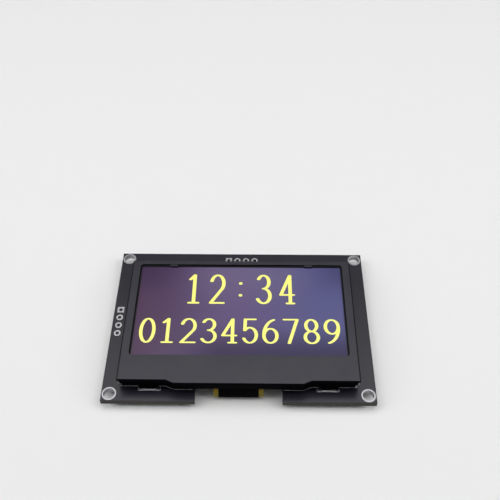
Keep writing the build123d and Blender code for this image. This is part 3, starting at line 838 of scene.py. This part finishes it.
def film_strip(route, half_width, inner, outer):
    """A film between two distances outwards from a route in the Y-Z plane.

    Outwards is the route's direction turned by a right angle, from (y, z) to (z, -y), so it
    points up at the start, forwards down the front and down at the end.
    """
    along = np.gradient(route, axis=0)
    along /= np.linalg.norm(along, axis=1)[:, None]
    outwards = np.stack([along[:, 1], -along[:, 0]], axis=-1)
    across = np.broadcast_to(half_width * np.array([-1, 1, 1, -1]), (len(route), 4))
    offset = np.array([inner, inner, outer, outer])
    in_plane = route[:, None, :] + outwards[:, None, :] * offset[:, None]
    return np.concatenate([across[..., None], in_plane], axis=-1)


half_thickness = flex_thickness / 2
below_upper_run = route[:, 1] < upper_z - upper_run_drop
past_cover_start = route[:, 0] < cover_start_y
before_cover_end = route[:, 0] < cover_high[1]
covered = route[past_cover_start | (below_upper_run & before_cover_end)]
film = film_strip(route, flex_high[0], -half_thickness, half_thickness)
cover_film = film_strip(covered, cover_high[0], half_thickness, half_thickness + cover_thickness)
flex = strips_object("flex_film", [film])
cover = strips_object("flex_cover", [cover_film])
for piece, node, slot in ((flex, "flex_tail", "amber_film"), (cover, "flex_cover_film", "black_film")):
    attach(piece, "root")
    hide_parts(node)
print("points of the route under the cover:", len(covered))

# %% [markdown]
# The bare film is a clear dark amber, glossy like all polyimide. The cover film over its middle
# is matt black, so almost nothing shines on it.

# %% Finish the flex tail
finish = Finish("amber_film")
patches = finish.noise(1.5 * mm)
finish.sockets(
    Base_Color=finish.between((0.160, 0.115, 0.002, 1), (0.210, 0.150, 0.004, 1), patches),
    Roughness=0.28,
    Specular_IOR_Level=0.15,
)
finish.coat(flex)

finish = Finish("black_cover_film")
finish.sockets(
    Base_Color=finish.between(grey(0.002), grey(0.004), finish.noise(1.0 * mm)),
    Roughness=0.6,
    Specular_IOR_Level=0.005,
    Normal=finish.bumps(finish.noise(0.1 * mm), depth=0.001 * mm),
)
finish.coat(cover)

# %% [markdown]
# Each tab of the frame is soldered to its pad on both faces of the board. Molten solder
# climbs the tab and thins out towards the pad's rim, so a fillet is a hollow curve, steep at
# the tab and flat at the rim. On the upper face it also stands up in two rounded lobes near
# the tab's ends. It is a closed ring: a section, with that curve as its top and a flat
# underside in the board's face, is carried round the tab.

# %% Shape one solder fillet
fillet_half = np.array([2.95, 0.44]) * mm
solder_rise = 0.50 * mm
solder_lobe = 1.10 * mm
solder_sink = 0.02 * mm
lobe_angle = np.radians(38)
lobe_power = 16
points_around = 96
points_up = 12
around = np.linspace(0, 2 * np.pi, points_around, endpoint=False)
climb = np.linspace(0, 1, points_up)


def rounded_outline(half):
    """A rounded rectangle: x and y follow the square roots of a circle's cosine and sine."""
    circle = np.stack([np.cos(around), np.sin(around)], axis=-1)
    return np.sign(circle) * np.sqrt(np.abs(circle)) * half


def half_to_whole(wave):
    """A share from 0.5 to 1 that follows a value from -1 to 1."""
    return 0.75 + 0.25 * wave


def solder_fillet(middle_x, middle_y, face_z, upwards, phase):
    """One closed ring round a tab, as points in rows round it and columns round its section.

    With a share s of the way out from the tab to the rim, the height is rise (1 - s)^2. The
    rise and the reach change slowly round the tab, with a sine of two waves and one of five
    added up, and the phase shifts both. Above the board two rounded lobes are added near the
    ends of the tab's outer face, where the solder lies thickest: each has the height lobe
    (1 - s^2), times a high power of the cosine of the angle from its middle, and the one
    nearer to the frame's middle is the larger. The underside runs back below the board's
    face. A ring under the board has its columns reversed, so that its faces still point
    outwards.
    """
    uneven = 0.5 * np.sin(2 * around + phase) + 0.5 * np.sin(5 * around + 2.3 * phase)
    rim = rounded_outline(fillet_half) * (0.96 + 0.05 * uneven)[:, None]
    inner = rounded_outline(tab_half)
    top = solder_rise * half_to_whole(uneven[:, None]) * (1 - climb) ** 2
    if upwards > 0:
        inward_side = -np.sign(middle_x)
        for angle, inwards in ((lobe_angle, inward_side), (np.pi - lobe_angle, -inward_side)):
            nearness = np.maximum(0, np.cos(around - np.sign(middle_y) * angle))
            lobe = solder_lobe * half_to_whole(inwards) * nearness[:, None] ** lobe_power
            top += lobe * (1 - climb ** 2)
    bottom = np.full((len(around), 2), -solder_sink)
    share = np.concatenate([climb, [1, 0]])
    flat = inner[:, None, :] + (rim - inner)[:, None, :] * share[:, None]
    lift = np.hstack([top, bottom]) * upwards
    place = np.stack([middle_x + flat[..., 0], middle_y + flat[..., 1], face_z + lift], axis=-1)
    return place if upwards > 0 else place[:, ::-1]


# %% [markdown]
# Four tabs with a fillet on each face of the board make eight rings. Each takes a phase from
# its own place, so that no two are alike. They are joined into one mesh, whose faces are those
# of one ring, counted on for each of the others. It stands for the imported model's plainer
# slopes.

# %% Build the solder fillets
side_phase = 1.7
depth_phase = 900
tab_y = (solder_low[1] + pad_half[1], solder_high[1] - pad_half[1])
rings = []
for side in (-1, 1):
    for middle_y in tab_y:
        for face_z, upwards in ((board_top, 1), (board_bottom, -1)):
            phase = side_phase * side + depth_phase * middle_y + upwards
            rings.append(solder_fillet(side * tab_x, middle_y, face_z, upwards, phase))
fillets = np.stack(rings)
ring_count, rows, columns, _ = fillets.shape
ring_faces = grid_faces(rows, columns, wrap_rows=True, wrap_columns=True)
ring_starts = np.arange(ring_count)[:, None, None] * rows * columns
solder_faces = (ring_faces + ring_starts).reshape(-1, 4)
solder = mesh_object("solder_fillets", fillets.reshape(-1, 3), solder_faces)
solder.data.shade_smooth()
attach(solder, "root")
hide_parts("tab_solder")
print("solder rings:", ring_count, "faces:", len(solder.data.polygons))

# %% [markdown]
# Solder is bright where it froze smooth and duller where it froze in ripples. A metal whose
# gloss and height follow the same noise looks like that.

# %% Finish the solder
finish = Finish("bright_solder")
ripple = finish.noise(0.35 * mm)
finish.sockets(
    Base_Color=finish.between((0.52, 0.52, 0.53, 1), (0.74, 0.74, 0.74, 1), ripple),
    Metallic=1.0,
    Roughness=0.10 + 0.14 * ripple,
    Normal=finish.bumps(ripple, depth=0.04 * mm),
)
finish.on("flex_contacts")
finish.coat(solder)
